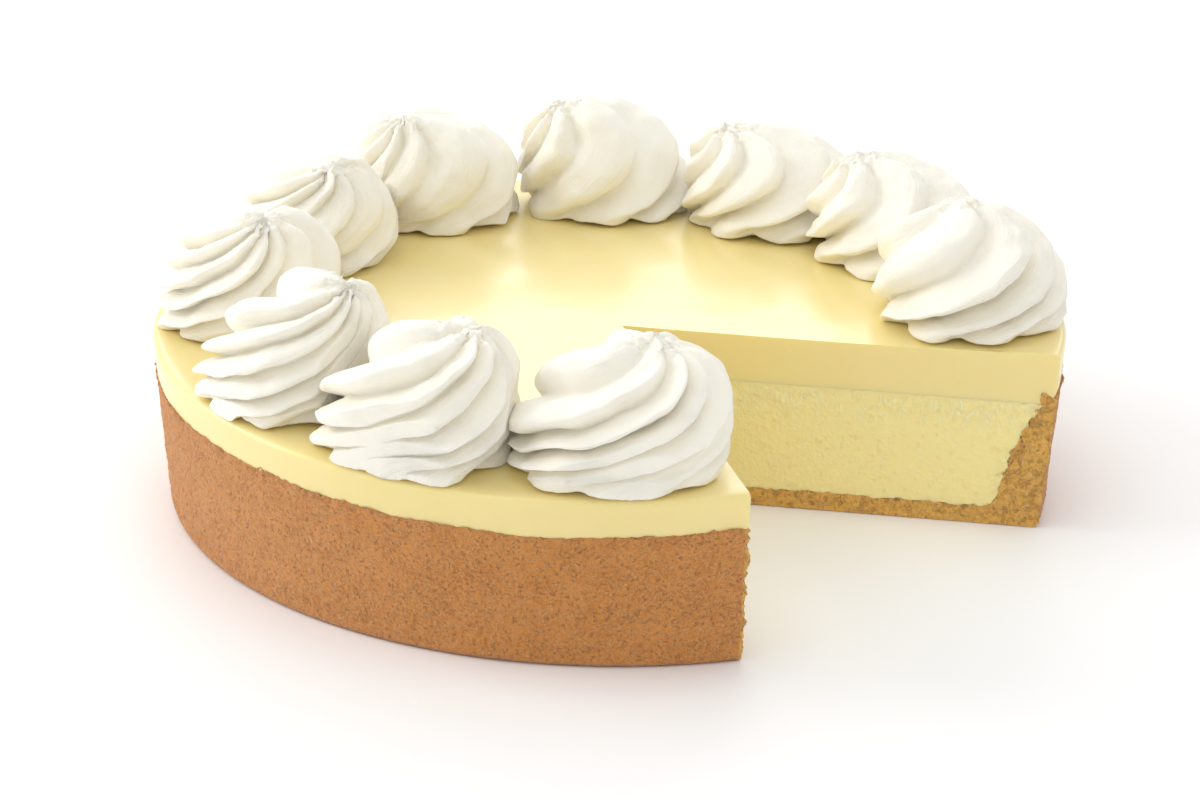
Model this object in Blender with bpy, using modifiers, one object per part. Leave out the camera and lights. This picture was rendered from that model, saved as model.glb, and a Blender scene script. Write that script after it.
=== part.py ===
"""Key lime cheesecake: a crumb crust, a baked filling, a smooth lime layer and ten cream rosettes.

Two of its twelve slices are cut out. Metres, +Z up, origin on the table under the centre of the cake.
Angles turn anticlockwise seen from above, from +X. The cut-out opens towards +X and -Y.
"""
import math
import random

import bmesh
import bpy
from mathutils import Matrix, Vector, noise

# The whole cake
TOP_RADIUS = 0.127
BASE_RADIUS = 0.1232
RIM_HEIGHT = 0.0484
CENTRE_RISE = 0.0022
TURN_STEPS = 72
MIDDLE_RING = 0.55
TOP_RINGS = (0.0, 0.28, 0.52, 0.70, 0.84, 0.94)
ARC_POINTS = 3
GAP = 0.0003
NEAR = 0.0001
MERGE = 0.00001

# The crust: a thin base and a wall that tapers to a narrow crumbly rim
CRUST_HEIGHT = 0.0387
CRUST_RIM_THICKNESS = 0.0036
CRUST_WALL_THICKNESS = 0.0118
CRUST_BASE_THICKNESS = 0.0052
CRUST_FILLET = 0.0045
CRUST_FOOT_ROUND = 0.0013
CRUST_WALL_POINTS = 5
CRUST_RELIEF = 0.00045
CRUST_RIM_WAVE = 0.0008
CRUST_SLOW_WAVE = 2.2
CRUST_QUICK_WAVE = 9.0
CRUST_GRAIN = 0.009
WALL_EASE = 1.25
WALL_POWER = 1.4

# The smooth layer on the baked filling starts at this height, a little under the crust's rim
LAYER_LINE = 0.0369
LAYER_SETTLE = 0.0010
LAYER_EDGE_ROUND = 0.0016

# The rim isn't level: angle, rise and spread of each swell or dip, and of the crust's own
CAKE_SWELLS = (
    (math.radians(-12), 0.0034, math.radians(28)),
    (math.radians(-105), -0.0012, math.radians(32)),
    (math.radians(95), -0.0014, math.radians(45)),
)
CRUST_SWELLS = (
    (math.radians(-12), 0.0012, math.radians(28)),
    (math.radians(-105), -0.0015, math.radians(32)),
)

# The cut-out: its point lies a little off the centre, its sides meet the rim midway between slices
CUT_POINT = Vector((0.0032, -0.0115))
CUT_RIM_ANGLES = (math.radians(-75), math.radians(-16))
CUTTER_REACH = 2.2
CUTTER_OVERRUN = 0.02
CUTTER_SIDES = 3

# The rosettes: star-piped cream, a full round body whose folds turn as they rise to an apex off its middle
SLICES = 12
RING_RADIUS = 0.1015
RIDGES = 8
COLUMNS_PER_RIDGE = 5
LEVELS = 12
STEPS_PER_LEVEL = 3
RIDGE_DEPTH = 0.0044
RIDGE_DEPTH_SHARE = 0.35
DOME_POWER = 2.3
WIDEST_HEIGHT = 0.0072
FOOT_DIP = math.radians(22)
TILT_SHARE = 0.55
TILT_POWER = 1.2
SHEAR_POWER = 1.5
FOLD_TURN = math.radians(155)
FOLD_SLOWING = 0.34
FOLD_CALM = 0.9
FOLD_SPREAD = 0.17
ROSETTE_REACH = TOP_RADIUS - 0.0002

# One row for each rosette, anticlockwise from +X: radius, height of its top, lean along the ring,
# lean towards the centre, shift out from the ring, shift along it, and its ridges' starting turn
ROSETTES = (
    (0.0262, 0.0310, 0.0114, 0.0042, -0.0009, -0.0042, 4),
    (0.0268, 0.0285, 0.0131, 0.0095, -0.0014, -0.0009, 21),
    (0.0271, 0.0290, 0.0131, 0.0084, -0.0048, -0.0042, 12),
    (0.0255, 0.0340, 0.0150, 0.0060, -0.0056, -0.0014, 30),
    (0.0248, 0.0345, 0.0148, 0.0061, -0.0024, 0.0008, 8),
    (0.0240, 0.0308, 0.0065, 0.0122, -0.0026, 0.0000, 17),
    (0.0258, 0.0335, 0.0142, 0.0063, -0.0009, 0.0004, 26),
    (0.0252, 0.0345, 0.0150, 0.0112, 0.0030, 0.0085, 2),
    (0.0261, 0.0335, 0.0124, 0.0077, 0.0055, 0.0014, 33),
    (0.0284, 0.0308, 0.0102, 0.0056, 0.0008, -0.0008, 14),
)

COLOURS = {
    "crust": ((0.47, 0.235, 0.085, 1.0), 0.85),
    "filling": ((0.86, 0.70, 0.27, 1.0), 0.55),
    "lime_layer": ((0.89, 0.76, 0.31, 1.0), 0.25),
    "cream": ((0.90, 0.86, 0.76, 1.0), 0.45),
}


def clear_scene():
    """Empties the scene of objects and of the collections made here."""
    for thing in list(bpy.data.objects):
        bpy.data.objects.remove(thing, do_unlink=True)
    for group in list(bpy.data.collections):
        bpy.data.collections.remove(group)


def make_collection(name):
    group = bpy.data.collections.new(name)
    bpy.context.scene.collection.children.link(group)
    return group


def make_material(name):
    colour, roughness = COLOURS[name]
    material = bpy.data.materials.new(name)
    material.use_nodes = True
    shader = material.node_tree.nodes["Principled BSDF"]
    shader.inputs["Base Color"].default_value = colour
    shader.inputs["Roughness"].default_value = roughness
    shader.inputs["Metallic"].default_value = 0.0
    return material


def swell(angle, swells):
    """Sum of smooth humps over angle, each at its full rise at its own angle."""
    total = 0.0
    for centre, rise, spread in swells:
        away = (angle - centre + math.pi) % (2 * math.pi) - math.pi
        total += rise * math.exp(-(away / spread) ** 2)
    return total


def top_height(x, y):
    """Height of the cake's top anywhere: a low crown in the middle that meets the uneven rim."""
    share = min(math.hypot(x, y) / TOP_RADIUS, 1.0)
    crown = CENTRE_RISE * (1 - share ** 2)
    return RIM_HEIGHT + crown + swell(math.atan2(y, x), CAKE_SWELLS) * share ** 3


def round_noise(angle, frequency):
    """Noise that closes on itself once round the cake."""
    return noise.noise(Vector((frequency * math.cos(angle), frequency * math.sin(angle), frequency)))


def crust_top(angle):
    """Height of the crust's crumbly rim."""
    quick = 0.6 * round_noise(angle, CRUST_QUICK_WAVE)
    wave = CRUST_RIM_WAVE * (round_noise(angle, CRUST_SLOW_WAVE) + quick)
    return CRUST_HEIGHT + swell(angle, CRUST_SWELLS) + wave


def settle(y, z):
    """How far the layers lie lower at the front and higher at the back, from the fillet up."""
    low = CRUST_BASE_THICKNESS + CRUST_FILLET
    share = min(max((z - low) / (LAYER_LINE - low), 0.0), 1.0)
    return LAYER_SETTLE * share * y / TOP_RADIUS


def outer_radius(height):
    """The pan's side leans out a little from base to top."""
    return BASE_RADIUS + (TOP_RADIUS - BASE_RADIUS) * min(height / RIM_HEIGHT, 1.0)


def wall_thickness(height):
    """The crust's wall thickens smoothly from its rim down to the fillet."""
    share = (CRUST_HEIGHT - height) / (CRUST_HEIGHT - CRUST_BASE_THICKNESS)
    ease = math.sin(0.5 * math.pi * min(max(share * WALL_EASE, 0.0), 1.0)) ** WALL_POWER
    return CRUST_RIM_THICKNESS + (CRUST_WALL_THICKNESS - CRUST_RIM_THICKNESS) * ease


def inner_radius(height):
    return outer_radius(height) - wall_thickness(height)


def wall_levels(low):
    """Heights from the top of the fillet to the layer line, shared by the crust and its filling."""
    last = CRUST_WALL_POINTS - 1
    return [low + (LAYER_LINE - low) * i / last for i in range(CRUST_WALL_POINTS)]


def fillet_arc(radius, level, clearance):
    """The rounded corner between base and wall, from the floor up, moved in by a clearance."""
    arc = []
    for i in range(ARC_POINTS):
        turn = 0.5 * math.pi * i / (ARC_POINTS - 1)
        arc.append((radius - clearance - CRUST_FILLET * (1 - math.sin(turn)),
                    level + clearance + CRUST_FILLET * (1 - math.cos(turn))))
    return arc


def crust_profile():
    """Half section: the base's top face, up the inside of the wall, over the rim, down the outside."""
    low = CRUST_BASE_THICKNESS + CRUST_FILLET
    points = [(0.0, CRUST_BASE_THICKNESS), (MIDDLE_RING * BASE_RADIUS, CRUST_BASE_THICKNESS)]
    points += fillet_arc(inner_radius(low), CRUST_BASE_THICKNESS, 0.0)
    levels = wall_levels(low) + [CRUST_HEIGHT]
    points += [(inner_radius(z), z) for z in levels[1:]]
    points += [(outer_radius(z), z) for z in reversed(levels)]
    points += [(outer_radius(0.0), CRUST_FOOT_ROUND), (outer_radius(0.0) - CRUST_FOOT_ROUND, 0.0)]
    points += [(MIDDLE_RING * BASE_RADIUS, 0.0), (0.0, 0.0)]
    return points


def filling_profile():
    """Half section of the baked filling: flat under the smooth layer, snug against the crust."""
    low = CRUST_BASE_THICKNESS + CRUST_FILLET
    high = LAYER_LINE - GAP
    levels = wall_levels(low)
    points = [(0.0, high), (MIDDLE_RING * TOP_RADIUS, high)]
    points += [(inner_radius(z) - GAP, min(z, high)) for z in reversed(levels[1:])]
    points += list(reversed(fillet_arc(inner_radius(low), CRUST_BASE_THICKNESS, GAP)))
    floor = CRUST_BASE_THICKNESS + GAP
    points += [(MIDDLE_RING * BASE_RADIUS, floor), (0.0, floor)]
    return points


def lime_profile():
    """Half section of the smooth layer: its top, its side above the crust, the ledge on the rim."""
    points = [(share * TOP_RADIUS, RIM_HEIGHT) for share in TOP_RINGS]
    for i in range(ARC_POINTS):
        turn = 0.5 * math.pi * i / (ARC_POINTS - 1)
        points.append((TOP_RADIUS - LAYER_EDGE_ROUND * (1 - math.sin(turn)),
                       RIM_HEIGHT - LAYER_EDGE_ROUND * (1 - math.cos(turn))))
    ledge = CRUST_HEIGHT + GAP
    points += [(outer_radius(ledge), ledge), (inner_radius(CRUST_HEIGHT) - GAP, ledge)]
    points += [(inner_radius(LAYER_LINE) - GAP, LAYER_LINE), (MIDDLE_RING * TOP_RADIUS, LAYER_LINE)]
    points += [(0.0, LAYER_LINE)]
    return points


def turned(name, profile, group, material):
    """Turns a half section round the cake's axis and closes it on the axis."""
    mesh = bpy.data.meshes.new(name)
    edges = [(i, i + 1) for i in range(len(profile) - 1)]
    mesh.from_pydata([(r, 0.0, z) for r, z in profile], edges, [])
    outline = bpy.data.objects.new(name + "_outline", mesh)
    group.objects.link(outline)
    screw = outline.modifiers.new("turn", "SCREW")
    screw.axis = "Z"
    screw.steps = TURN_STEPS
    screw.render_steps = TURN_STEPS
    screw.use_merge_vertices = True
    screw.merge_threshold = MERGE
    bpy.context.view_layer.update()
    depsgraph = bpy.context.evaluated_depsgraph_get()
    solid = bpy.data.meshes.new_from_object(outline.evaluated_get(depsgraph))
    bpy.data.objects.remove(outline, do_unlink=True)
    shaped = bmesh.new()
    shaped.from_mesh(solid)
    bmesh.ops.remove_doubles(shaped, verts=shaped.verts, dist=MERGE)
    bmesh.ops.recalc_face_normals(shaped, faces=shaped.faces)
    shaped.to_mesh(solid)
    shaped.free()
    solid.name = name
    body = bpy.data.objects.new(name, solid)
    body.data.materials.clear()
    body.data.materials.append(material)
    group.objects.link(body)
    return body


def shape_crust(body):
    """Gives the rim its crumbly line and the outside its low relief; the inside stays true."""
    for vertex in body.data.vertices:
        x, y, z = vertex.co
        radius = math.hypot(x, y)
        if radius < NEAR:
            continue
        angle = math.atan2(y, x)
        outside = radius > outer_radius(z) - NEAR
        if z > LAYER_LINE + NEAR:
            z = crust_top(angle)
        else:
            z += settle(y, z)
        if outside and z > NEAR:
            radius += CRUST_RELIEF * noise.noise(vertex.co / CRUST_GRAIN)
        vertex.co = (radius * math.cos(angle), radius * math.sin(angle), z)


def shape_filling(body):
    for vertex in body.data.vertices:
        vertex.co.z += settle(vertex.co.y, vertex.co.z)


def shape_lime_layer(body):
    """Lays the top on the cake's uneven height and the ledge on the crust's rim."""
    ledge = CRUST_HEIGHT + GAP
    for vertex in body.data.vertices:
        x, y, z = vertex.co
        angle = math.atan2(y, x)
        if z > RIM_HEIGHT - LAYER_EDGE_ROUND - NEAR:
            vertex.co.z = z + top_height(x, y) - RIM_HEIGHT
        elif z > ledge - NEAR:
            vertex.co.z = crust_top(angle) + GAP
        else:
            vertex.co.z = z + settle(y, z)


def wedge_cutter(group):
    """A three-sided prism: its point near the cake's centre, its sides through the rim's two angles."""
    corners = [CUT_POINT]
    for angle in CUT_RIM_ANGLES:
        rim = TOP_RADIUS * Vector((math.cos(angle), math.sin(angle)))
        corners.append(CUT_POINT + CUTTER_REACH * (rim - CUT_POINT))
    depth = RIM_HEIGHT + 2 * CUTTER_OVERRUN
    bpy.ops.mesh.primitive_cylinder_add(vertices=CUTTER_SIDES, radius=TOP_RADIUS, depth=depth,
                                        location=(0.0, 0.0, 0.5 * depth - CUTTER_OVERRUN))
    cutter = bpy.context.object
    cutter.name = "wedge_cutter"
    for vertex in cutter.data.vertices:
        turn = math.atan2(vertex.co.y, vertex.co.x) - 0.5 * math.pi
        corner = corners[round(turn * CUTTER_SIDES / (2 * math.pi)) % CUTTER_SIDES]
        vertex.co.x = corner.x
        vertex.co.y = corner.y
    for owner in list(cutter.users_collection):
        owner.objects.unlink(cutter)
    group.objects.link(cutter)
    cutter.hide_render = True
    cutter.display_type = "WIRE"
    return cutter


def cut(body, cutter):
    knife = body.modifiers.new("cut_out", "BOOLEAN")
    knife.operation = "DIFFERENCE"
    knife.solver = "EXACT"
    knife.object = cutter


def smooth_step(value, low, high):
    share = min(max((value - low) / (high - low), 0.0), 1.0)
    return share * share * (3 - 2 * share)


def rising(share):
    """Angle above the widest level, from the tucked-in foot up to the apex."""
    return -FOOT_DIP + (0.5 * math.pi + FOOT_DIP) * share


def dome_point(share, angle, inward, radius, tip, lean):
    """A point on the full round body, whose rings tilt over towards the side that it leans to (+X)."""
    rise = rising(share)
    tilt = math.asin(TILT_SHARE * lean / radius) * share ** TILT_POWER
    flat = math.cos(rise) * math.cos(angle)
    out = Vector((flat * math.cos(tilt) + math.sin(rise) * math.sin(tilt), math.cos(rise) * math.sin(angle),
                  math.sin(rise) * math.cos(tilt) - flat * math.sin(tilt)))
    fill = (out.xy.length ** DOME_POWER + abs(out.z) ** DOME_POWER) ** (-1 / DOME_POWER)
    if out.z >= 0:
        height = WIDEST_HEIGHT + (tip - WIDEST_HEIGHT) * fill * out.z
    else:
        height = max(WIDEST_HEIGHT * (1 + fill * out.z / math.sin(FOOT_DIP)), 0.0)
    shear = (1 - TILT_SHARE) * lean * (height / tip) ** SHEAR_POWER
    return Vector((radius * fill * out.x + shear, radius * fill * out.y, height)) - inward * out


def fold_pace(share):
    """How fast the folds run round at a level: slowly at the foot, fast above it, slowly at the apex."""
    return 2.0 * smooth_step(share, -0.05, 0.2) * (1 - share) ** FOLD_CALM


def fold_angles(start, spread_turn):
    """Angle of every column at every level. The folds run slower on the side that the rosette leans to."""
    count = RIDGES * COLUMNS_PER_RIDGE
    angles = [start + 2 * math.pi * i / count for i in range(count)]
    angles = [a + FOLD_SPREAD * (math.sin(a + spread_turn) + 0.5 * math.sin(2 * a - spread_turn)) for a in angles]
    table = [angles]
    steps = STEPS_PER_LEVEL * (LEVELS - 1)
    for step in range(steps):
        pace = FOLD_TURN / steps * fold_pace((step + 0.5) / steps)
        angles = [angle + pace * (1 - FOLD_SLOWING * math.cos(angle)) for angle in angles]
        if (step + 1) % STEPS_PER_LEVEL == 0:
            table.append(angles)
    return table


def rosette_centre(index):
    """Each rosette sits on its own slice, a little off the ring."""
    shift_out, shift_along = ROSETTES[index][4:6]
    place = index * 2 * math.pi / SLICES
    outward = Vector((math.cos(place), math.sin(place), 0.0))
    onward = Vector((-outward.y, outward.x, 0.0))
    return (RING_RADIUS + shift_out) * outward + shift_along * onward


def rosette(index, group, material):
    """One rosette: a sphere whose columns follow the ridges, drawn into a leaning star-shaped swirl."""
    radius, tip, lean_along, lean_in, shift_out, shift_along, start = ROSETTES[index]
    draw = random.Random(40 + index)
    lobes = [draw.uniform(-1, 1) for _ in range(RIDGES)]
    place = index * 2 * math.pi / SLICES
    lean = math.hypot(lean_along, lean_in)
    lean_turn = place + 0.5 * math.pi + math.atan2(lean_in, lean_along)
    table = fold_angles(math.radians(start) - lean_turn, draw.uniform(0, 2 * math.pi))
    facing = Matrix.Rotation(lean_turn, 3, "Z")
    centre = rosette_centre(index)
    name = "cream_rosette_%02d" % (index + 1)

    shaped = bmesh.new()
    columns = RIDGES * COLUMNS_PER_RIDGE
    bmesh.ops.create_uvsphere(shaped, u_segments=columns, v_segments=LEVELS, radius=1.0)
    for vertex in shaped.verts:
        level = round((1 - math.acos(max(-1.0, min(1.0, vertex.co.z))) / math.pi) * LEVELS)
        column = round(math.atan2(vertex.co.y, vertex.co.x) / (2 * math.pi) * columns) % columns
        if level == 0:
            vertex.co = centre
            continue
        share = (level - 1) / (LEVELS - 1)
        angle = table[level - 1][column]
        size = radius * math.cos(rising(share))
        low = 1 - abs(math.cos(math.pi * column / COLUMNS_PER_RIDGE))
        ridge, part = divmod(column, COLUMNS_PER_RIDGE)
        part /= COLUMNS_PER_RIDGE
        lobe = lobes[ridge] * (1 - part) + lobes[(ridge + 1) % RIDGES] * part
        depth = min(RIDGE_DEPTH * (1 + 0.3 * lobe), RIDGE_DEPTH_SHARE * size) * low
        point = dome_point(share, angle, depth, radius, tip, lean)
        if level == 1:
            point.z = 0.0
        vertex.co = centre + facing @ point
    keep_between_neighbours(shaped, index)
    keep_over_cake(shaped)
    for vertex in shaped.verts:
        vertex.co.z += top_height(vertex.co.x, vertex.co.y) + GAP
    mesh = bpy.data.meshes.new(name)
    shaped.to_mesh(mesh)
    shaped.free()
    mesh.materials.append(material)
    mesh.shade_smooth()
    body = bpy.data.objects.new(name, mesh)
    group.objects.link(body)
    return body


def keep_between_neighbours(shaped, index):
    """Presses a rosette flat where it would run into the one beside it on the ring."""
    centre = rosette_centre(index)
    for step in (-1, 1):
        if not 0 <= index + step < len(ROSETTES):
            continue
        beside = rosette_centre(index + step)
        towards = (beside - centre).normalized()
        border = 0.5 * (centre + beside)
        for vertex in shaped.verts:
            over = (vertex.co - border).dot(towards) + 0.5 * GAP
            if over > 0:
                vertex.co -= over * towards


def keep_over_cake(shaped):
    """Draws in what would hang out past the cake's rim."""
    for vertex in shaped.verts:
        reach = math.hypot(vertex.co.x, vertex.co.y)
        if reach > ROSETTE_REACH:
            vertex.co.x *= ROSETTE_REACH / reach
            vertex.co.y *= ROSETTE_REACH / reach


def main():
    clear_scene()
    cake = make_collection("key_lime_cheesecake")
    cutters = make_collection("cutters")
    materials = {name: make_material(name) for name in COLOURS}

    crust = turned("crust", crust_profile(), cake, materials["crust"])
    shape_crust(crust)
    filling = turned("cheesecake_filling", filling_profile(), cake, materials["filling"])
    shape_filling(filling)
    lime_layer = turned("lime_layer", lime_profile(), cake, materials["lime_layer"])
    shape_lime_layer(lime_layer)

    cutter = wedge_cutter(cutters)
    for body in (crust, filling, lime_layer):
        cut(body, cutter)
    for index in range(len(ROSETTES)):
        rosette(index, cake, materials["cream"])


main()
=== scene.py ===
"""Key lime cheesecake with ten cream rosettes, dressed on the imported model. Metres, +Z up.

Angles turn anticlockwise seen from above, from +X. The cut-out opens towards +X and -Y.
"""
import math
import random

import bmesh
import bpy
from mathutils import Matrix, Vector, noise


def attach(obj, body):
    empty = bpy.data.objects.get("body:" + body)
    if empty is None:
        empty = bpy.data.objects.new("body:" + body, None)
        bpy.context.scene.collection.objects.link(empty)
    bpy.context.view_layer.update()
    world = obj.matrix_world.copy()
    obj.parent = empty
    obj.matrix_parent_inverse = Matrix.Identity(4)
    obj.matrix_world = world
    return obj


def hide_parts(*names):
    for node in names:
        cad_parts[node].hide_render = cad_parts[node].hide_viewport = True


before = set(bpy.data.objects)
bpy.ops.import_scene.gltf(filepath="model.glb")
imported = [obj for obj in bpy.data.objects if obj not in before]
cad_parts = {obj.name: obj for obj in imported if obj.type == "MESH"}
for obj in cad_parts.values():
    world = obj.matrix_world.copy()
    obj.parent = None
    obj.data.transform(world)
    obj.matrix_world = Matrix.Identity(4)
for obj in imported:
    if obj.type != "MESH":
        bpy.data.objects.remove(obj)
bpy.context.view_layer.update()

# The whole cake
TOP_RADIUS = 0.127
BASE_RADIUS = 0.1232
RIM_HEIGHT = 0.0484
CENTRE_RISE = 0.0022
CAKE_SWELLS = (
    (math.radians(-12), 0.0034, math.radians(28)),
    (math.radians(-105), -0.0012, math.radians(32)),
    (math.radians(95), -0.0014, math.radians(45)),
)

# The crust
CRUST_HEIGHT = 0.0387
CRUST_RIM_THICKNESS = 0.0036
CRUST_WALL_THICKNESS = 0.0118
CRUST_BASE_THICKNESS = 0.0052
CRUST_FILLET = 0.0045
FILLET_STEPS = 3
CRUST_FOOT_ROUND = 0.0013
CRUST_RIM_WAVE = 0.0008
CRUST_SLOW_WAVE = 2.2
CRUST_QUICK_WAVE = 9.0
WALL_EASE = 1.25
WALL_POWER = 1.4
CRUST_SWELLS = (
    (math.radians(-12), 0.0012, math.radians(28)),
    (math.radians(-105), -0.0015, math.radians(32)),
)

# The smooth layer
LAYER_LINE = 0.0369
LAYER_SETTLE = 0.0010
LAYER_EDGE_ROUND = 0.0016
EDGE_STEPS = 4
TOP_RINGS = 42
LEDGE_UNDER_RIM = 0.0016
BAND_INSET = 0.0001
LEDGE_TUCK = 0.0009

# The cut-out
CUT_POINT = Vector((0.0032, -0.0115))
CUT_RIM_ANGLES = (math.radians(-75), math.radians(-16))
CUTTER_REACH = 2.2
CUTTER_OVERRUN = 0.02

# How finely the cake's pieces are divided
TURN_STEPS = 280
ROW = 0.00065
CELL = 0.00065
COARSE_ROW = 0.003
WALL_CUTS = 3

# Relief: the size of its lumps and how far it moves the surface
WALL_LINE_RELIEF = (0.0020, 0.0026)
CRUST_SWELL_RELIEF = (0.012, 0.0008)
CRUST_GRAIN_RELIEF = (0.0015, 0.0008)
RIM_CRUMB_RELIEF = (0.0024, 0.0024)
CUT_CRUMB_RELIEF = (0.0027, 0.0020)
CUT_GRAIN_RELIEF = (0.0012, 0.0011)
FILLING_GRAIN_RELIEF = (0.0013, 0.0005)
FILLING_STREAK_RELIEF = (0.0030, 0.0013)
TOP_SWELL_RELIEF = (0.022, 0.0005)
CREAM_SWELL_RELIEF = (0.013, 0.0024)
CREAM_FINE_RELIEF = (0.0035, 0.0004)
APEX_RELIEF = (0.0025, 0.0026)

# The rosettes. A share runs from 0 at the foot to 1 at the apex.
SLICES = 12
RING_RADIUS = 0.1015
RIDGES = 8
COLUMNS = 8
LEVELS = 32
LAST_SHARE = 0.975
DOME_POWER = 2.3
WIDEST_HEIGHT = 0.0072
FOOT_DIP = math.radians(22)
TILT_SHARE = 0.55
TILT_POWER = 1.2
SHEAR_POWER = 1.5
FOLD_TURN = math.radians(155)
FOLD_SLOWING = 0.34
FOLD_CALM = 0.9
FOLD_SPREAD = 0.17
FOLD_PEAK = 2.0
FOLD_FADE = (-0.05, 0.2)
FOLD_WOBBLE = 0.13
WOBBLE_TURNS = 1.2
RIDGE_DEPTH = 0.0070
RIDGE_DEPTH_SHARE = 0.42
RIDGE_DEPTH_FADE = (-0.12, 0.1)
RIDGE_SKEW = math.radians(5.0)
RIDGE_SKEW_FADE = (0.0, 0.2)
STEEP_SHARE = 0.375
CREST_POWER = 2.0
CREST_DROOP = 0.0017
CREST_DROOP_FADE = (0.1, 0.35)
GROOVE_COLUMN = 6
GROOVE_SHARE = 0.2
FAR_DEEPER = 0.25
LOBE_DEEPER = 0.3
LOBE_VARIATION = 0.0020
LOBE_DRIFT = 2.3
APEX_SHARES = (0.78, 0.93)
FIRST_DRAW = 40
ROSETTE_REACH = TOP_RADIUS - 0.0002
PRESS_GAP = 0.0001

# One row for each rosette, anticlockwise from +X: radius, height of its top, lean along the ring,
# lean towards the centre, shift out from the ring, shift along it, and its ridges' starting turn
ROSETTES = (
    (0.0272, 0.0320, 0.0114, 0.0042, -0.0009, -0.0042, 4),
    (0.0278, 0.0295, 0.0131, 0.0095, -0.0014, -0.0009, 21),
    (0.0281, 0.0300, 0.0131, 0.0084, -0.0048, -0.0042, 12),
    (0.0265, 0.0350, 0.0150, 0.0060, -0.0056, -0.0014, 30),
    (0.0258, 0.0355, 0.0148, 0.0061, -0.0024, 0.0008, 8),
    (0.0250, 0.0318, 0.0065, 0.0122, -0.0026, 0.0000, 17),
    (0.0268, 0.0345, 0.0142, 0.0063, -0.0009, 0.0004, 26),
    (0.0262, 0.0355, 0.0150, 0.0112, 0.0030, 0.0085, 2),
    (0.0271, 0.0345, 0.0124, 0.0077, 0.0055, 0.0014, 33),
    (0.0294, 0.0318, 0.0102, 0.0056, 0.0008, -0.0008, 14),
)

# The camera
CAMERA_DISTANCE = 8.5 * TOP_RADIUS
CAMERA_AIM_HEIGHT = 0.38 * TOP_RADIUS
CAMERA_ELEVATION = 0.3639
CAMERA_AZIMUTH = math.radians(-1.5)
CAMERA_YAW = -0.0022
CAMERA_PITCH = -0.0211
CAMERA_ROLL = 0.0132
SENSOR_WIDTH = 36.0
CAMERA_LENS = 115.8

UP = Vector((0.0, 0.0, 1.0))


# Heights and radii of the cake

def swell(angle, swells):
    """Sum of smooth humps over angle, each at its full rise at its own angle."""
    total = 0.0
    for centre, rise, spread in swells:
        away = (angle - centre + math.pi) % (2 * math.pi) - math.pi
        total += rise * math.exp(-(away / spread) ** 2)
    return total


def top_height(x, y):
    """Height of the cake's top anywhere: a low crown in the middle that meets the uneven rim."""
    share = min(math.hypot(x, y) / TOP_RADIUS, 1.0)
    crown = CENTRE_RISE * (1 - share ** 2)
    return RIM_HEIGHT + crown + swell(math.atan2(y, x), CAKE_SWELLS) * share ** 3


def round_noise(angle, frequency):
    """Noise that closes on itself once round the cake."""
    return noise.noise(Vector((frequency * math.cos(angle), frequency * math.sin(angle), frequency)))


def crust_top(angle):
    """Height of the crust's crumbly rim."""
    quick = 0.6 * round_noise(angle, CRUST_QUICK_WAVE)
    wave = CRUST_RIM_WAVE * (round_noise(angle, CRUST_SLOW_WAVE) + quick)
    return CRUST_HEIGHT + swell(angle, CRUST_SWELLS) + wave


def settle(y, z):
    """How far the layers lie lower at the front and higher at the back."""
    low = CRUST_BASE_THICKNESS + CRUST_FILLET
    share = min(max((z - low) / (LAYER_LINE - low), 0.0), 1.0)
    return LAYER_SETTLE * share * y / TOP_RADIUS


def outer_radius(height):
    """The pan's side leans out a little from base to top."""
    return BASE_RADIUS + (TOP_RADIUS - BASE_RADIUS) * min(height / RIM_HEIGHT, 1.0)


def inner_radius(height):
    """The crust's wall thickens smoothly from its rim down to the fillet."""
    share = (CRUST_HEIGHT - height) / (CRUST_HEIGHT - CRUST_BASE_THICKNESS)
    ease = math.sin(0.5 * math.pi * min(max(share * WALL_EASE, 0.0), 1.0)) ** WALL_POWER
    thickness = CRUST_RIM_THICKNESS + (CRUST_WALL_THICKNESS - CRUST_RIM_THICKNESS) * ease
    return outer_radius(height) - thickness


def smooth_step(value, low, high):
    share = min(max((value - low) / (high - low), 0.0), 1.0)
    return share * share * (3 - 2 * share)


# Working with operators

def select_only(*pieces):
    """Leaves edit mode and selects just these objects, the last one active."""
    if bpy.context.object and bpy.context.object.mode != "OBJECT":
        bpy.ops.object.mode_set(mode="OBJECT")
    bpy.ops.object.select_all(action="DESELECT")
    for piece in pieces:
        piece.select_set(True)
        bpy.context.view_layer.objects.active = piece


def pick(piece, kind, test):
    """In edit mode, selects only the vertices, edges or faces that pass a test."""
    bpy.ops.mesh.select_mode(type=kind)
    bpy.ops.mesh.select_all(action="DESELECT")
    mesh = bmesh.from_edit_mesh(piece.data)
    for part in {"VERT": mesh.verts, "EDGE": mesh.edges, "FACE": mesh.faces}[kind]:
        if not part.hide and test(part):
            part.select_set(True)
    mesh.select_flush_mode()
    bmesh.update_edit_mesh(piece.data)


def apply_modifier(piece, kind, **settings):
    """Adds a modifier with these settings and applies it."""
    select_only(piece)
    bpy.ops.object.modifier_add(type=kind)
    modifier = piece.modifiers[-1]
    for name, value in settings.items():
        setattr(modifier, name, value)
    bpy.ops.object.modifier_apply(modifier=modifier.name)


def roughen(piece, relief, group="", spread="NORMAL", depth=2):
    """Displaces a piece by a noise of one size, along its normals or every way."""
    texture = bpy.data.textures.new(piece.name + "_relief", "CLOUDS")
    texture.noise_scale, strength = relief
    texture.noise_depth = depth
    texture.cloud_type = "COLOR" if spread == "RGB_TO_XYZ" else "GRAYSCALE"
    apply_modifier(piece, "DISPLACE", texture=texture, direction=spread, strength=strength,
                   mid_level=0.5, texture_coords="LOCAL", vertex_group=group)


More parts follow.
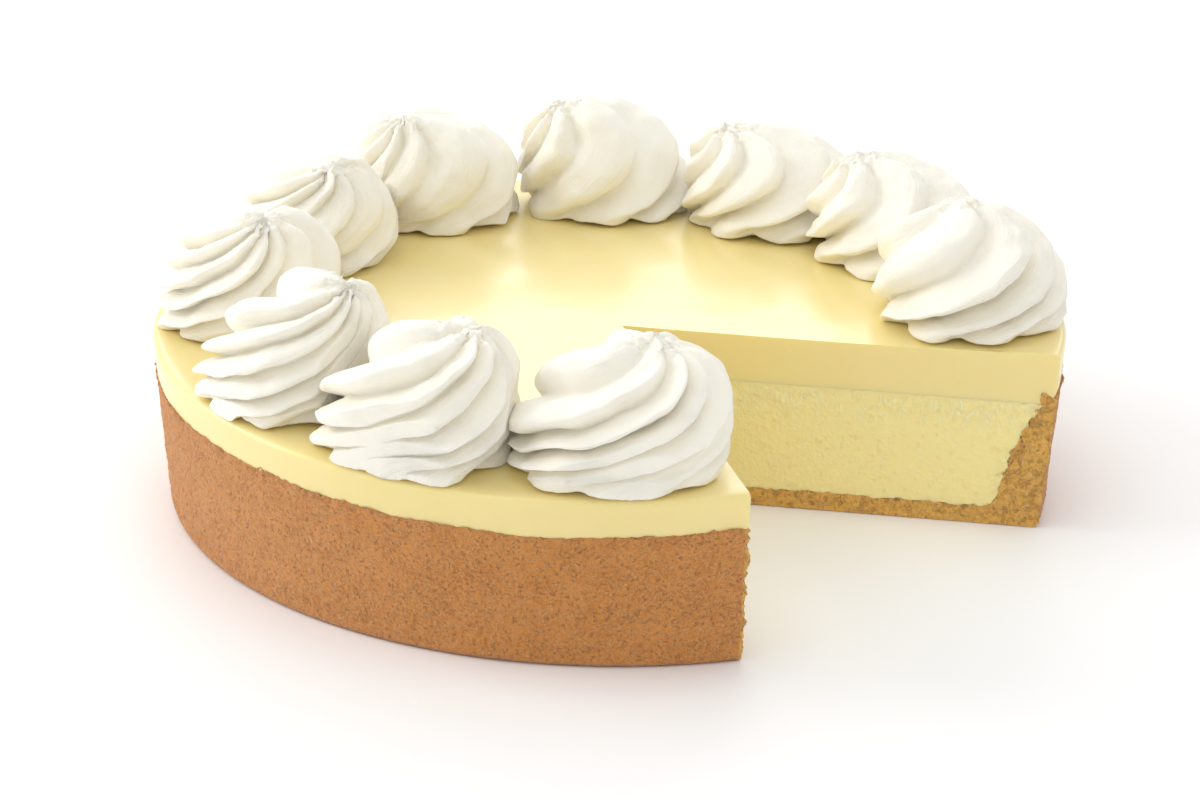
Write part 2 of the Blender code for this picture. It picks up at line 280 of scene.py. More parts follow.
def weigh(piece, name, rule):
    """A vertex group whose weights follow a rule of the place."""
    group = piece.vertex_groups.new(name=name)
    for vertex in piece.data.vertices:
        weight = rule(vertex.co)
        if weight > 0:
            group.add([vertex.index], min(weight, 1.0), "REPLACE")
    return name


def finish_piece(piece, material, node):
    """Gives a piece its material and its body, and hides the imported node that it stands for."""
    piece.data.materials.clear()
    piece.data.materials.append(material)
    for group in list(piece.vertex_groups):
        piece.vertex_groups.remove(group)
    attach(piece, "root")
    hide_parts(node)
    return piece


# The cake's three layers

def stacked(name, rings):
    """A round body: a filled circle drawn up through a list of rings (radius, height)."""
    radius, height = rings[0]
    select_only()
    bpy.ops.mesh.primitive_circle_add(vertices=TURN_STEPS, radius=radius, fill_type="NGON",
                                      location=(0.0, 0.0, height))
    piece = bpy.context.object
    piece.name = name
    piece.data.name = name
    bpy.ops.object.transform_apply(location=True, rotation=True, scale=True)
    bpy.ops.object.mode_set(mode="EDIT")
    bpy.ops.mesh.select_mode(type="FACE")
    bpy.ops.mesh.select_all(action="SELECT")
    for next_radius, next_height in rings[1:]:
        rise = (0.0, 0.0, next_height - height)
        ratio = next_radius / radius
        bpy.ops.mesh.extrude_region_move(TRANSFORM_OT_translate={"value": rise})
        bpy.ops.transform.resize(value=(ratio, ratio, 1.0), center_override=(0.0, 0.0, next_height))
        radius, height = next_radius, next_height
    bpy.ops.mesh.select_all(action="SELECT")
    bpy.ops.mesh.normals_make_consistent(inside=False)
    bpy.ops.object.mode_set(mode="OBJECT")
    return piece


def levels(low, high, step):
    """Evenly spaced heights from low to high, both included."""
    count = max(round(abs(high - low) / step), 1)
    return [low + (high - low) * i / count for i in range(count + 1)]


def cut_sides():
    """Each side of the cut-out: its direction from the point, and its normal into the cut-out."""
    sides = []
    for angle, hand in zip(CUT_RIM_ANGLES, (1, -1)):
        rim = TOP_RADIUS * Vector((math.cos(angle), math.sin(angle)))
        along = (rim - CUT_POINT).normalized()
        sides.append((along, hand * Vector((-along.y, along.x))))
    return sides


def wedge_cutter():
    """A three-sided prism over the two slices that are cut out."""
    corners = [CUT_POINT] + [CUT_POINT + CUTTER_REACH * TOP_RADIUS * along for along, _ in cut_sides()]
    depth = RIM_HEIGHT + 2 * CUTTER_OVERRUN
    select_only()
    bpy.ops.mesh.primitive_circle_add(vertices=3, radius=TOP_RADIUS, fill_type="NGON",
                                      location=(0.0, 0.0, 0.0))
    cutter = bpy.context.object
    cutter.name = "wedge_cutter"
    for vertex, corner in zip(cutter.data.vertices, corners):
        vertex.co = (corner.x, corner.y, -CUTTER_OVERRUN)
    bpy.ops.object.mode_set(mode="EDIT")
    bpy.ops.mesh.select_all(action="SELECT")
    bpy.ops.mesh.extrude_region_move(TRANSFORM_OT_translate={"value": (0.0, 0.0, depth)})
    bpy.ops.mesh.select_all(action="SELECT")
    bpy.ops.mesh.normals_make_consistent(inside=False)
    bpy.ops.object.mode_set(mode="OBJECT")
    return cutter


def cut_wedge(piece, cutter, rows):
    """Cuts the slices out of a layer, then divides the fresh faces into small cells."""
    apply_modifier(piece, "BOOLEAN", operation="DIFFERENCE", solver="EXACT", object=cutter)
    for along, into in cut_sides():
        flat = Vector((into.x, into.y, 0.0))
        point = Vector((CUT_POINT.x, CUT_POINT.y, 0.0))
        bpy.ops.object.mode_set(mode="EDIT")
        pick(piece, "FACE", lambda f: abs(f.normal.dot(flat)) > 0.99
             and abs((f.calc_center_median() - point).dot(flat)) < 0.0002)
        bpy.ops.mesh.hide(unselected=True)
        line = Vector((along.x, along.y, 0.0))
        for i in range(1, int(TOP_RADIUS / CELL) + 1):
            bpy.ops.mesh.select_all(action="SELECT")
            bpy.ops.mesh.bisect(plane_co=point + i * CELL * line, plane_no=line)
        for height in rows:
            bpy.ops.mesh.select_all(action="SELECT")
            bpy.ops.mesh.bisect(plane_co=(0.0, 0.0, height), plane_no=UP)
        bpy.ops.mesh.reveal(select=False)
        bpy.ops.object.mode_set(mode="OBJECT")


def cut_depth(co):
    """Distance from the nearer side of the cut-out, for a point near either side."""
    nearest = 1.0
    for along, into in cut_sides():
        away = Vector((co.x, co.y)) - CUT_POINT
        if away.dot(along) > -0.001:
            nearest = min(nearest, abs(away.dot(into)))
    return nearest


def wall_line(co):
    """How near a point lies to the line where the crust's inside meets what it holds, from 0 to 1."""
    radius = math.hypot(co.x, co.y)
    side = abs(radius - inner_radius(max(co.z, CRUST_BASE_THICKNESS + CRUST_FILLET)))
    if co.z < CRUST_BASE_THICKNESS + CRUST_FILLET:
        side = min(side, abs(co.z - CRUST_BASE_THICKNESS))
    flat = 0.35 + 0.65 * smooth_step(co.z, CRUST_BASE_THICKNESS, CRUST_BASE_THICKNESS + 0.008)
    return flat * (1 - smooth_step(side, 0.0008, 0.003))


def ragged(piece):
    """Moves the line between crust and filling the same way in both, so that they still meet."""
    group = weigh(piece, "wall_line", wall_line)
    roughen(piece, WALL_LINE_RELIEF, group, spread="RGB_TO_XYZ", depth=1)


def crust_shell(cutter, material):
    """Crumb crust: a base and a wall with a crumbly rim, open where the slices are cut out."""
    low = CRUST_BASE_THICKNESS + CRUST_FILLET
    rows = levels(CRUST_FOOT_ROUND, CRUST_HEIGHT, ROW)
    foot = 0.3 * CRUST_FOOT_ROUND
    rings = [(BASE_RADIUS - CRUST_FOOT_ROUND, 0.0), (BASE_RADIUS - foot, foot)]
    rings += [(outer_radius(z), z) for z in rows]
    rings += [(inner_radius(z), z) for z in reversed(levels(low, CRUST_HEIGHT, COARSE_ROW))]
    for i in range(1, FILLET_STEPS + 1):
        turn = 0.5 * math.pi * i / FILLET_STEPS
        rings.append((inner_radius(low) - CRUST_FILLET * (1 - math.cos(turn)),
                      low - CRUST_FILLET * math.sin(turn)))
    crust = stacked("crust_shell", rings)
    cut_wedge(crust, cutter, rows)
    bpy.ops.object.mode_set(mode="EDIT")
    pick(crust, "EDGE", lambda e: abs(e.verts[0].co.z - e.verts[1].co.z) < 0.00001
         and all(v.co.z > 0.0001 and v.co.xy.length > outer_radius(v.co.z) - 0.5 * CRUST_FOOT_ROUND
                 for v in e.verts))
    bpy.ops.mesh.subdivide(number_cuts=WALL_CUTS)
    bpy.ops.object.mode_set(mode="OBJECT")
    for vertex in crust.data.vertices:
        x, y, z = vertex.co
        angle = math.atan2(y, x)
        rise = (crust_top(angle) - CRUST_HEIGHT) * smooth_step(z, 0.5 * CRUST_HEIGHT, CRUST_HEIGHT)
        vertex.co.z = z + rise + settle(y, z) * (1 - smooth_step(z, LAYER_LINE - 0.001, CRUST_HEIGHT))
    ragged(crust)
    shell = weigh(crust, "outside", lambda co: smooth_step(co.z, 0.0, 0.003))
    rim = weigh(crust, "rim", lambda co: smooth_step(co.z, CRUST_HEIGHT - 0.003, CRUST_HEIGHT - 0.0005))
    face = weigh(crust, "cut_face", lambda co: (1 - smooth_step(cut_depth(co), 0.0003, 0.0012))
                 * smooth_step(co.z, 0.0, 0.001))
    roughen(crust, CRUST_SWELL_RELIEF, shell)
    roughen(crust, CRUST_GRAIN_RELIEF, shell)
    roughen(crust, RIM_CRUMB_RELIEF, rim, spread="RGB_TO_XYZ")
    roughen(crust, CUT_CRUMB_RELIEF, face)
    roughen(crust, CUT_GRAIN_RELIEF, face, depth=1)
    for vertex in crust.data.vertices:
        vertex.co.z = max(vertex.co.z, 0.0)
    select_only(crust)
    bpy.ops.object.shade_smooth_by_angle(angle=math.radians(60))
    return finish_piece(crust, material, "crust")


def filling_body(cutter, material):
    """Baked filling: snug in the crust, slightly grainy where it is cut."""
    low = CRUST_BASE_THICKNESS + CRUST_FILLET
    rows = levels(CRUST_BASE_THICKNESS, LAYER_LINE, ROW)
    rings = []
    for i in range(FILLET_STEPS + 1):
        turn = 0.5 * math.pi * i / FILLET_STEPS
        rings.append((inner_radius(low) - CRUST_FILLET * (1 - math.sin(turn)),
                      CRUST_BASE_THICKNESS + CRUST_FILLET * (1 - math.cos(turn))))
    rings += [(inner_radius(z), z) for z in levels(low, LAYER_LINE, COARSE_ROW)[1:]]
    filling = stacked("filling_body", rings)
    cut_wedge(filling, cutter, rows)
    for vertex in filling.data.vertices:
        vertex.co.z += settle(vertex.co.y, vertex.co.z)
    ragged(filling)
    face = weigh(filling, "cut_face", lambda co: 1 - smooth_step(cut_depth(co), 0.0002, 0.001))
    streaked = weigh(filling, "streaked", lambda co: (1 - smooth_step(cut_depth(co), 0.0002, 0.001))
                     * smooth_step(co.z, LAYER_LINE - 0.012, LAYER_LINE - 0.004)
                     * (1 - smooth_step(co.z, LAYER_LINE - 0.0022, LAYER_LINE - 0.0008)))
    roughen(filling, FILLING_GRAIN_RELIEF, face)
    roughen(filling, FILLING_STREAK_RELIEF, streaked)
    select_only(filling)
    bpy.ops.object.shade_smooth_by_angle(angle=math.radians(60))
    return finish_piece(filling, material, "cheesecake_filling")


def lime_top(cutter, material):
    """Smooth layer: it shows on top, at the cut and as a band above the crust."""
    ledge = CRUST_HEIGHT - LEDGE_UNDER_RIM
    rings = [(inner_radius(LAYER_LINE), LAYER_LINE), (inner_radius(LAYER_LINE) + 0.0002, ledge)]
    for z in levels(ledge, RIM_HEIGHT - LAYER_EDGE_ROUND, ROW):
        tuck = LEDGE_TUCK * (1 - smooth_step(z, ledge, CRUST_HEIGHT + 0.0004))
        rings.append((outer_radius(z) - BAND_INSET - tuck, z))
    for i in range(1, EDGE_STEPS + 1):
        turn = 0.5 * math.pi * i / EDGE_STEPS
        rings.append((outer_radius(RIM_HEIGHT) - BAND_INSET - LAYER_EDGE_ROUND * (1 - math.cos(turn)),
                      RIM_HEIGHT - LAYER_EDGE_ROUND * (1 - math.sin(turn))))
    edge = rings[-1][0]
    rings += [(edge * (1 - i / TOP_RINGS), RIM_HEIGHT) for i in range(1, TOP_RINGS - 1)]
    layer = stacked("lime_top", rings)
    rows = levels(LAYER_LINE, RIM_HEIGHT, ROW)
    cut_wedge(layer, cutter, rows[1:-1])
    for vertex in layer.data.vertices:
        x, y, z = vertex.co
        share = smooth_step(z, ledge, RIM_HEIGHT - LAYER_EDGE_ROUND)
        lift = (top_height(x, y) - RIM_HEIGHT) * share
        rim = (crust_top(math.atan2(y, x)) - CRUST_HEIGHT) * (1 - share) * (z > ledge - 0.00001)
        vertex.co.z = z + lift + rim + settle(y, z) * (z < ledge - 0.00001)
    skin = weigh(layer, "skin", lambda co: smooth_step(co.z, ledge, ledge + 0.003))
    roughen(layer, TOP_SWELL_RELIEF, skin, depth=1)
    select_only(layer)
    bpy.ops.object.shade_smooth_by_angle(angle=math.radians(40))
    return finish_piece(layer, material, "lime_layer")


# The rosettes

def rising(share):
    """Angle above the widest level, from the tucked-in foot up to the apex."""
    return -FOOT_DIP + (0.5 * math.pi + FOOT_DIP) * share


def dome_point(share, angle, inward, radius, tip, lean):
    """A point on the full round body, whose rings tilt over towards the side that it leans to (+X)."""
    rise = rising(share)
    tilt = math.asin(TILT_SHARE * lean / radius) * share ** TILT_POWER
    flat = math.cos(rise) * math.cos(angle)
    out = Vector((flat * math.cos(tilt) + math.sin(rise) * math.sin(tilt), math.cos(rise) * math.sin(angle),
                  math.sin(rise) * math.cos(tilt) - flat * math.sin(tilt)))
    fill = (out.xy.length ** DOME_POWER + abs(out.z) ** DOME_POWER) ** (-1 / DOME_POWER)
    if out.z >= 0:
        height = WIDEST_HEIGHT + (tip - WIDEST_HEIGHT) * fill * out.z
    else:
        height = max(WIDEST_HEIGHT * (1 + fill * out.z / math.sin(FOOT_DIP)), 0.0)
    shear = (1 - TILT_SHARE) * lean * (height / tip) ** SHEAR_POWER
    return Vector((radius * fill * out.x + shear, radius * fill * out.y, height)) - inward * out


def rosette_centre(index):
    """Each rosette sits on its own slice, a little off the ring."""
    shift_out, shift_along = ROSETTES[index][4:6]
    place = index * 2 * math.pi / SLICES
    outward = Vector((math.cos(place), math.sin(place), 0.0))
    onward = Vector((-outward.y, outward.x, 0.0))
    return (RING_RADIUS + shift_out) * outward + shift_along * onward


def valley(step):
    """How deep a column lies, from 0 on a round crest to 1 in a crease: steep under the crest."""
    part = step % COLUMNS / COLUMNS
    if part < STEEP_SHARE:
        return (part / STEEP_SHARE) ** CREST_POWER
    return ((1 - part) / (1 - STEEP_SHARE)) ** CREST_POWER


def fold_pace(share):
    """How fast the folds run round at a level: slowly at the foot, fast above it, slowly at the apex."""
    return FOLD_PEAK * smooth_step(share, *FOLD_FADE) * (1 - share) ** FOLD_CALM


def fold_angles(start, spread_turn):
    """Angle of every column at every level. The folds run slower on the side that the rosette leans to."""
    count = RIDGES * COLUMNS
    angles = [start + 2 * math.pi * i / count for i in range(count)]
    angles = [a + FOLD_SPREAD * (math.sin(a + spread_turn) + 0.5 * math.sin(2 * a - spread_turn))
              for a in angles]
    table = [angles]
    for level in range(LEVELS):
        pace = FOLD_TURN * LAST_SHARE / LEVELS * fold_pace(LAST_SHARE * (level + 0.5) / LEVELS)
        angles = [angle + pace * (1 - FOLD_SLOWING * math.cos(angle)) for angle in angles]
        table.append(angles)
    return table


def lay_ring(ring, share, angles, lobes, sizes):
    """Lays one level's points on the dome: crests out and drooping, valleys in."""
    size = sizes[0] * math.cos(rising(share))
    for vertex, column in ring:
        ridge, part = divmod(column, COLUMNS)
        part /= COLUMNS
        lobe = lobes[ridge] * (1 - part) + lobes[(ridge + 1) % RIDGES] * part
        low = valley(column)
        if column % COLUMNS == GROOVE_COLUMN:
            low += GROOVE_SHARE * abs(lobe)
        angle = angles[column] + RIDGE_SKEW * (1 - low) * smooth_step(share, *RIDGE_SKEW_FADE)
        angle += FOLD_WOBBLE * lobe * math.sin(2 * math.pi * (WOBBLE_TURNS * share + lobe)) * (1 - share)
        depth = RIDGE_DEPTH * (1 + LOBE_DEEPER * lobe) * (1 - FAR_DEEPER * math.cos(angle))
        depth = min(depth, RIDGE_DEPTH_SHARE * size) * smooth_step(share, *RIDGE_DEPTH_FADE)
        drift = LOBE_VARIATION * lobe * math.sin(LOBE_DRIFT * share * math.pi + 2 * math.pi * lobe)
        droop = CREST_DROOP * (1 - low) * smooth_step(share, *CREST_DROOP_FADE) * size / sizes[0]
        vertex.co = dome_point(share, angle, depth * low - drift * size / sizes[0], *sizes)
        vertex.co.z = max(vertex.co.z - droop, 0.0) if share > 0 else 0.0


def swirl(index):
    """A star ring drawn up level by level, turned and tilted over as it closes to its tip."""
    radius, tip, lean_along, lean_in, shift_out, shift_along, start = ROSETTES[index]
    draw = random.Random(FIRST_DRAW + index)
    lobes = [draw.uniform(-1, 1) for _ in range(RIDGES)]
    place = index * 2 * math.pi / SLICES
    sizes = (radius, tip, math.hypot(lean_along, lean_in))
    lean_turn = place + 0.5 * math.pi + math.atan2(lean_in, lean_along)
    table = fold_angles(math.radians(start) - lean_turn, draw.uniform(0, 2 * math.pi))
    select_only()
    bpy.ops.mesh.primitive_circle_add(vertices=RIDGES * COLUMNS, radius=radius, location=(0.0, 0.0, 0.0))
    piece = bpy.context.object
    piece.name = "rosette_%02d" % (index + 1)
    piece.data.name = piece.name
    bpy.ops.object.mode_set(mode="EDIT")
    bpy.ops.mesh.select_mode(type="EDGE")
    bpy.ops.mesh.select_all(action="SELECT")
    mesh = bmesh.from_edit_mesh(piece.data)
    mesh.verts.layers.float_vector.new("flow")
    mesh.verts.layers.float.new("share")
    mesh.verts.layers.int.new("column")
    column_of = mesh.verts.layers.int["column"]
    for i, vertex in enumerate(mesh.verts):
        vertex[column_of] = i
    bmesh.update_edit_mesh(piece.data)
    for level in range(LEVELS + 1):
        share = LAST_SHARE * level / LEVELS
        if level > 0:
            bpy.ops.mesh.extrude_region_move()
        mesh = bmesh.from_edit_mesh(piece.data)
        column_of = mesh.verts.layers.int["column"]
        share_of = mesh.verts.layers.float["share"]
        flow_of = mesh.verts.layers.float_vector["flow"]
        ring = [(v, v[column_of]) for v in mesh.verts if v.select]
        lay_ring(ring, share, table[level], lobes, sizes)
        for vertex, column in ring:
            turn = 2 * math.pi * column / (RIDGES * COLUMNS)
            vertex[share_of] = share
            vertex[flow_of] = (math.cos(turn), math.sin(turn), share)
        bmesh.update_edit_mesh(piece.data)
    bpy.ops.mesh.edge_face_add()
    bpy.ops.mesh.poke()
    pick(piece, "EDGE", lambda e: len(e.link_faces) == 1)
    bpy.ops.mesh.edge_face_add()
    bpy.ops.mesh.select_all(action="SELECT")
    bpy.ops.mesh.normals_make_consistent(inside=False)
    bpy.ops.object.mode_set(mode="OBJECT")
    piece.rotation_euler.z = lean_turn
    piece.location = rosette_centre(index)
    bpy.ops.object.transform_apply(location=True, rotation=True, scale=True)
    return piece


def seat_rosette(piece, index):
    """Presses a rosette flat against its neighbours, keeps it over the cake and lays it on the top."""
    centre = rosette_centre(index)
    borders = []
    for step in (-1, 1):
        if 0 <= index + step < len(ROSETTES):
            beside = rosette_centre(index + step)
            borders.append(((beside - centre).normalized(), 0.5 * (centre + beside)))
    for vertex in piece.data.vertices:
        for towards, border in borders:
            over = (vertex.co - border).dot(towards) + 0.5 * PRESS_GAP
            if over > 0:
                vertex.co -= over * towards
        reach = vertex.co.xy.length
        if reach > ROSETTE_REACH:
            vertex.co.xy *= ROSETTE_REACH / reach
        vertex.co.z = max(vertex.co.z, 0.0) + top_height(vertex.co.x, vertex.co.y)


def rosette(index, material):
    """One rosette of whipped cream."""
    piece = swirl(index)
    shares = [item.value for item in piece.data.attributes["share"].data]
    group = piece.vertex_groups.new(name="apex")
    for i, share in enumerate(shares):
        if share > APEX_SHARES[0]:
            group.add([i], smooth_step(share, *APEX_SHARES), "REPLACE")
    apply_modifier(piece, "SUBSURF", levels=2, render_levels=2)
    roughen(piece, CREAM_SWELL_RELIEF, spread="RGB_TO_XYZ", depth=1)
    roughen(piece, CREAM_FINE_RELIEF)
    roughen(piece, APEX_RELIEF, "apex", spread="RGB_TO_XYZ", depth=1)
    seat_rosette(piece, index)
    select_only(piece)
    bpy.ops.object.shade_smooth()
    return finish_piece(piece, material, "cream_rosette_%02d" % (index + 1))


# Materials

class Value:
    """A socket of a material that Python's operators work on, each adding a Math node."""

    def __init__(self, finish, socket):
        self.finish = finish
        self.socket = socket

    def maths(self, operation, second, first=None):
        first = self if first is None else first
        return self.finish.add("ShaderNodeMath", {"operation": operation}, {0: first, 1: second})

    def __add__(self, other):
        return self.maths("ADD", other)

    def __sub__(self, other):
        return self.maths("SUBTRACT", other)

    def __rsub__(self, other):
        return self.maths("SUBTRACT", self, other)

    def __mul__(self, other):
        return self.maths("MULTIPLY", other)


class Finish:
    """A material being put together, with one Principled shader."""

    def __init__(self, name):
        self.material = bpy.data.materials.new(name)
        self.material.use_nodes = True
        self.nodes = self.material.node_tree.nodes
        self.links = self.material.node_tree.links
        self.shader = self.nodes["Principled BSDF"]
        self.place = self.add("ShaderNodeTexCoord", {}, {}, "Object")

    def add(self, kind, settings, inputs, output=0):
        """Adds a node: its settings first, then its sockets' values or links. Gives one output."""
        node = self.nodes.new(kind)
        for name, value in settings.items():
            if name == "stops":
                self.set_stops(node.color_ramp, value)
            else:
                setattr(node, name, value)
        for name, value in inputs.items():
            self.feed(self.find(node.inputs, name), value)
        return Value(self, self.find(node.outputs, output))

    def find(self, sockets, name):
        if isinstance(name, int):
            return sockets[name]
        return next(s for s in sockets if name in (s.identifier, s.name) and s.enabled)

    def feed(self, socket, value):
        if isinstance(value, Value):
            self.links.new(value.socket, socket)
        else:
            socket.default_value = value

    def set_stops(self, ramp, stops):
        while len(ramp.elements) < len(stops):
            ramp.elements.new(0.5)
        for element, (place, colour) in zip(ramp.elements, stops):
            element.position = place
            element.color = (*colour, 1.0)

    def mix(self, share, first, second):
        """A colour between two others."""
        colours = [c if isinstance(c, Value) else (*c, 1.0) for c in (first, second)]
        return self.add("ShaderNodeMix", {"data_type": "RGBA"},
                        {"Factor_Float": share, "A_Color": colours[0], "B_Color": colours[1]},
                        "Result_Color")

    def grain(self, size, detail=3.0, place=None, rough=0.5):
        """Noise with lumps of this size, from 0 to 1."""
        return self.add("ShaderNodeTexNoise", {}, {"Vector": place or self.place, "Scale": 1.0 / size,
                                                   "Detail": detail, "Roughness": rough}, "Fac")

    def above(self, value, low, high):
        """A smooth step from 0 below low to 1 above high."""
        return self.add("ShaderNodeMapRange", {"interpolation_type": "SMOOTHSTEP"},
                        {"Value": value, "From Min": low, "From Max": high}, "Result")

    def stretched(self, scale, turn=(0.0, 0.0, 0.0)):
        """The place, turned and scaled, for a pattern that is longer one way."""
        return self.add("ShaderNodeMapping", {},
                        {"Vector": self.place, "Rotation": turn, "Scale": scale}, "Vector")

    def from_cut(self, reach):
        """How near the place is to either side of the cut-out, from 0 at this reach to 1."""
        near = 0.0
        for along, into in cut_sides():
            away = self.past(CUT_POINT, into)
            beside = self.above(away * away, reach * reach, 0.0)
            beside = beside * self.above(self.past(CUT_POINT, along), -0.001, 0.001)
            near = beside.maths("MAXIMUM", near)
        return near

    def past(self, point, way):
        """How far the place lies past a point, along a level direction."""
        dot = self.add("ShaderNodeVectorMath", {"operation": "DOT_PRODUCT"},
                       {0: self.place, 1: (way.x, way.y, 0.0)}, "Value")
        return dot - point.dot(way)

    def bump(self, height, distance, strength):
        """A normal that a height tilts, at most over this distance."""
        return self.add("ShaderNodeBump", {},
                        {"Height": height, "Distance": distance, "Strength": strength}, "Normal")

    def set(self, **values):
        """Sets the shader's sockets, by their names with underscores for spaces."""
        for name, value in values.items():
            self.feed(self.find(self.shader.inputs, name.replace("_", " ")), value)
        return self.material


def crumb_finish():
    """Fine golden brown crumb: pressed grains with darker and lighter ones among them, and painted shade in
    the pits of the cut face.
    """
    f = Finish("golden_crumb")
    cut = f.from_cut(0.0012)
    grains = f.grain(0.0009, 4.0, rough=0.7)
    dark = f.above(f.grain(0.0010, 3.0), 0.52, 0.72)
    # Pits on the cut face, also painted darker as the shade that falls between the crumbs
    shaded_pits = f.above(f.grain(0.0021, 3.0), 0.54, 0.66) * cut
    light = f.above(f.grain(0.0009, 3.0, f.stretched((1.0, 1.0, 1.0), (0.5, 0.2, 0.9))), 0.52, 0.70)
    patch = f.above(f.grain(0.007, 4.0), 0.3, 0.7)
    base = f.mix(patch, (0.575, 0.208, 0.043), (0.72, 0.29, 0.071))
    base = f.mix(f.above(grains, 0.35, 0.65), base, (0.76, 0.33, 0.085))
    base = f.mix(dark * (0.6 - cut * 0.25), base, (0.38, 0.13, 0.026))
    base = f.mix(light * 0.45, base, (0.92, 0.54, 0.20))
    base = f.mix(cut * 0.72, base, (1.0, 0.605, 0.14))
    # Painted shade: the cut face's pits darkened
    base = f.mix(shaded_pits * 0.4, base, (0.62, 0.26, 0.045))
    height = grains + light * 0.4 - dark * 0.35 - shaded_pits * 0.8
    return f.set(Base_Color=base, Roughness=grains * 0.15 + 0.75, Specular_IOR_Level=0.3,
                 Sheen_Weight=0.3, Sheen_Roughness=0.4, Normal=f.bump(height, 0.0009, 1.0))


def filling_finish():
    """Soft pale yellow, fine-grained where it is cut, streaky just under the smooth layer, with painted
    shade in its pits.
    """
    f = Finish("baked_filling_yellow")
    patch = f.grain(0.02, 2.0)
    fine = f.grain(0.0010, 4.0)
    # Pits, also painted darker and more saturated as the shade in the dents that the bump makes
    shaded_pits = f.above(f.grain(0.0024, 3.0), 0.56, 0.74)
    height = f.add("ShaderNodeSeparateXYZ", {}, {"Vector": f.place}, "Z")
    under_layer = 1 - f.above(height, LAYER_LINE - 0.002, LAYER_LINE)
    zone = f.above(height, LAYER_LINE - 0.013, LAYER_LINE - 0.005) * under_layer
    streak = f.grain(0.0019, 2.0, f.stretched((1.7, 1.7, 0.6), (0.0, 0.5, 0.0)))
    streak = f.above(streak, 0.52, 0.62) * zone
    base = f.mix(patch, (1.0, 0.83, 0.36), (1.0, 0.85, 0.39))
    base = f.mix(f.above(fine, 0.48, 0.68) * 0.45, base, (0.98, 0.88, 0.54))
    # Painted shade in the pits
    base = f.mix(shaded_pits * 0.35, base, (0.90, 0.70, 0.25))
    base = f.mix(streak * 0.75, base, (1.0, 0.91, 0.52))
    return f.set(Base_Color=base, Roughness=fine * 0.2 + 0.42, Specular_IOR_Level=0.35,
                 Subsurface_Weight=0.3, Subsurface_Radius=(1.0, 0.7, 0.25), Subsurface_Scale=0.003,
                 Normal=f.bump(fine + streak * 0.5 - shaded_pits * 0.4, 0.0007, 0.7))


def lime_finish():
    """Smooth, moist and pale yellow, with a soft gloss."""
    f = Finish("lime_yellow")
    patch = f.grain(0.03, 2.0)
    fine = f.grain(0.004, 3.0)
    smear = f.grain(0.012, 2.0, f.stretched((0.5, 1.0, 1.0)))
    base = f.mix(patch, (0.90, 0.74, 0.305), (0.925, 0.775, 0.35))
    return f.set(Base_Color=base, Roughness=smear * 0.14 + 0.26, Specular_IOR_Level=0.5,
                 Coat_Weight=0.4, Coat_Roughness=0.16,
                 Subsurface_Weight=0.3, Subsurface_Radius=(1.0, 0.7, 0.25), Subsurface_Scale=0.004,
                 Normal=f.bump(fine, 0.0004, 0.12))


def cream_finish():
    """Satin ivory white, with fine lines drawn along the folds by the nozzle."""
    f = Finish("whipped_cream_ivory")
    soft = f.grain(0.012, 2.0)
    fine = f.grain(0.0012, 3.0)
    flow = f.add("ShaderNodeAttribute", {"attribute_name": "flow"}, {}, "Vector")
    flow = f.add("ShaderNodeMapping", {}, {"Vector": flow, "Scale": (1.0, 1.0, 0.16)}, "Vector")
    lines = f.grain(1 / 30, 3.0, flow, 0.6)
    worn = f.above(f.grain(0.014, 2.0), 0.36, 0.62)
    base = f.mix(soft, (0.958, 0.908, 0.79), (0.97, 0.93, 0.835))
    return f.set(Base_Color=base, Roughness=fine * 0.12 + 0.4, Specular_IOR_Level=0.35,
                 Subsurface_Weight=0.35, Subsurface_Radius=(1.0, 0.88, 0.7), Subsurface_Scale=0.003,
                 Normal=f.bump(fine * 0.25 + lines * worn, 0.0009, 0.6))


# Stage, light and camera

def floor():
    """A plain pale floor under the cake."""
    select_only()
    bpy.ops.mesh.primitive_plane_add(size=8.0, location=(0.0, 0.0, -0.0002))
    ground = bpy.context.object
    ground.name = "floor"
    f = Finish("pale_floor")
    cloudy = f.grain(0.4, 2.0)
    base = f.mix(cloudy, (0.965, 0.965, 0.965), (0.975, 0.975, 0.975))
    ground.data.materials.append(f.set(Base_Color=base, Roughness=0.6, Specular_IOR_Level=0.2))


def softbox(name, place, aim, width, depth, power):
    """A large soft white lamp that faces a point."""
    lamp = bpy.data.lights.new(name, "AREA")
    lamp.shape = "RECTANGLE"
    lamp.size = width
    lamp.size_y = depth
    lamp.energy = power
    holder = bpy.data.objects.new(name, lamp)
    bpy.context.scene.collection.objects.link(holder)
    holder.location = place
    holder.rotation_euler = (Vector(aim) - Vector(place)).to_track_quat("-Z", "Y").to_euler()


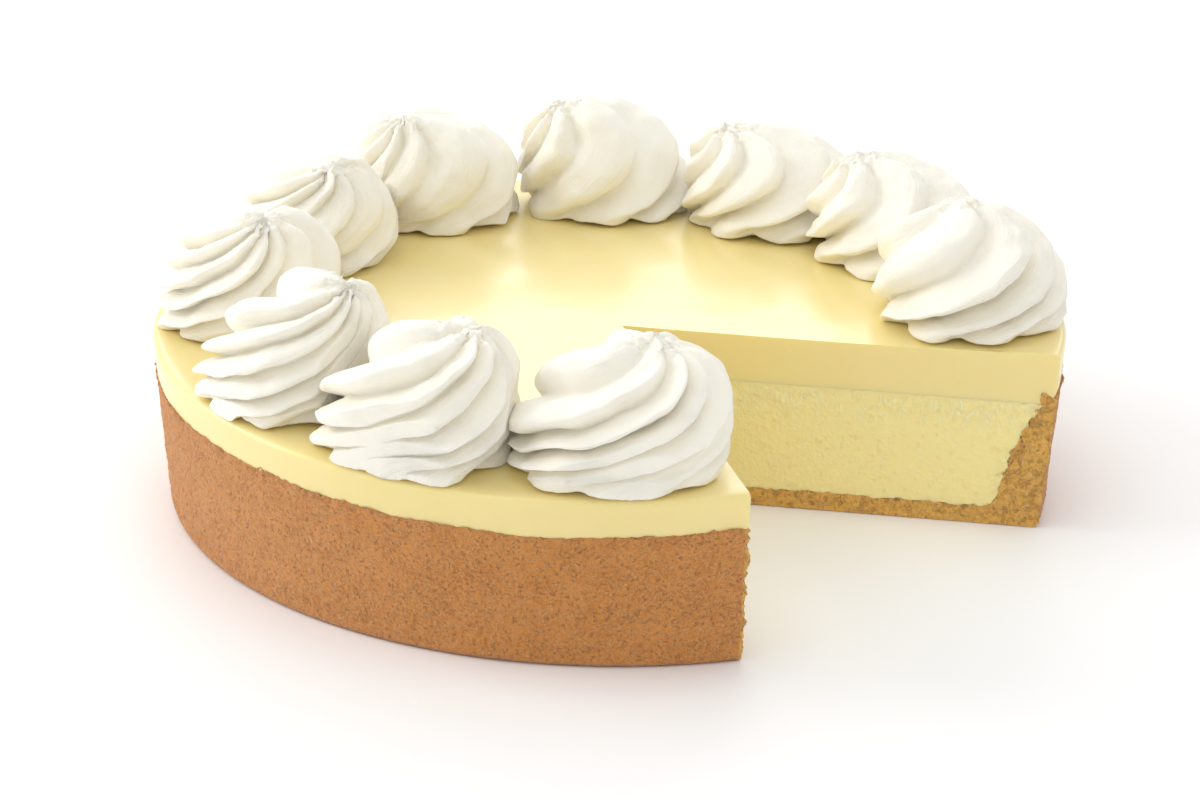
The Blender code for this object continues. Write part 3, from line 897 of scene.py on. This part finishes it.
def lights():
    """A white room with soft lamps above, behind and at the left."""
    world = bpy.data.worlds.new("white_room")
    world.use_nodes = True
    world.node_tree.nodes["Background"].inputs["Color"].default_value = (1.0, 1.0, 1.0, 1.0)
    world.node_tree.nodes["Background"].inputs["Strength"].default_value = 0.83
    bpy.context.scene.world = world
    softbox("back_softbox", (-0.3, 1.5, 1.3), (0.0, 0.0, 0.05), 1.8, 1.0, 6.0)
    softbox("low_back_softbox", (0.1, 2.0, 0.95), (0.0, 0.0, 0.05), 1.6, 0.45, 4.5)
    softbox("left_softbox", (-1.35, 0.35, 0.7), (0.0, 0.0, 0.05), 1.0, 1.0, 10.0)
    softbox("top_softbox", (-0.05, -0.1, 0.75), (-0.03, 0.03, 0.05), 0.4, 0.4, 0.45)
    bpy.context.scene.view_settings.view_transform = "Standard"


def camera():
    """The photo's viewpoint: about 21 degrees above the table, from about 1.1 m away."""
    lens = bpy.data.cameras.new("camera")
    lens.sensor_width = SENSOR_WIDTH
    lens.lens = CAMERA_LENS
    holder = bpy.data.objects.new("camera", lens)
    bpy.context.scene.collection.objects.link(holder)
    back = CAMERA_DISTANCE * math.cos(CAMERA_ELEVATION)
    height = CAMERA_DISTANCE * math.sin(CAMERA_ELEVATION) + CAMERA_AIM_HEIGHT
    turned = Matrix.Rotation(CAMERA_AZIMUTH, 4, "Z")
    facing = Matrix.Rotation(0.5 * math.pi - CAMERA_ELEVATION, 4, "X")
    trim = (Matrix.Rotation(-CAMERA_YAW, 4, "Y") @ Matrix.Rotation(CAMERA_PITCH, 4, "X")
            @ Matrix.Rotation(CAMERA_ROLL, 4, "Z"))
    holder.matrix_world = turned @ Matrix.Translation((0.0, -back, height)) @ facing @ trim
    bpy.context.scene.camera = holder


def main():
    floor()
    lights()
    camera()
    cream = cream_finish()
    cutter = wedge_cutter()
    crust_shell(cutter, crumb_finish())
    filling_body(cutter, filling_finish())
    lime_top(cutter, lime_finish())
    bpy.data.objects.remove(cutter, do_unlink=True)
    for index in range(len(ROSETTES)):
        rosette(index, cream)


main()
